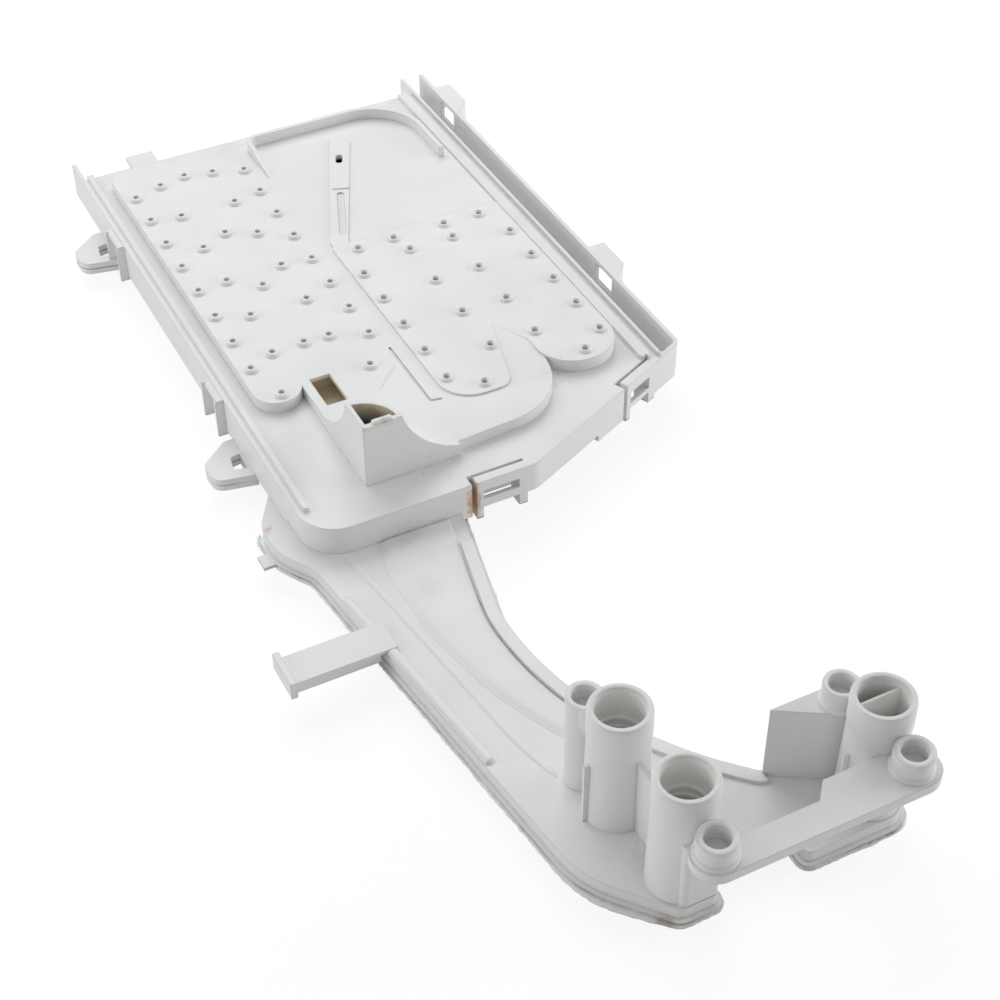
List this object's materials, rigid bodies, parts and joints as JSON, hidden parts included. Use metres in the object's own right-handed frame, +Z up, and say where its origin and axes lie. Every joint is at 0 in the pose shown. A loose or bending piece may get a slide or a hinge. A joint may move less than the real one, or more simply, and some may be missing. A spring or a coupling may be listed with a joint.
{
  "type": "detergent dispenser cover",
  "caption": "Flat spray cover for a washer's detergent drawer, with a branching water arm, hose sockets and a quarter spout.",
  "frame": {"origin": "on the resting plane, under the middle of the plate", "axes": "+Y from the water arm to the plate's back edge, +X to the drawer channel's side, +Z up through the nozzles"},
  "size_m": [0.2482, 0.5589, 0.069],
  "materials": {
    "cover_plastic": "satin moulded",
    "backing_plastic": "satin moulded"
  },
  "bodies": {
    "root": {"nozzle_cover": "cover_plastic", "backing_shell": "backing_plastic"}
  },
  "joints": []
}
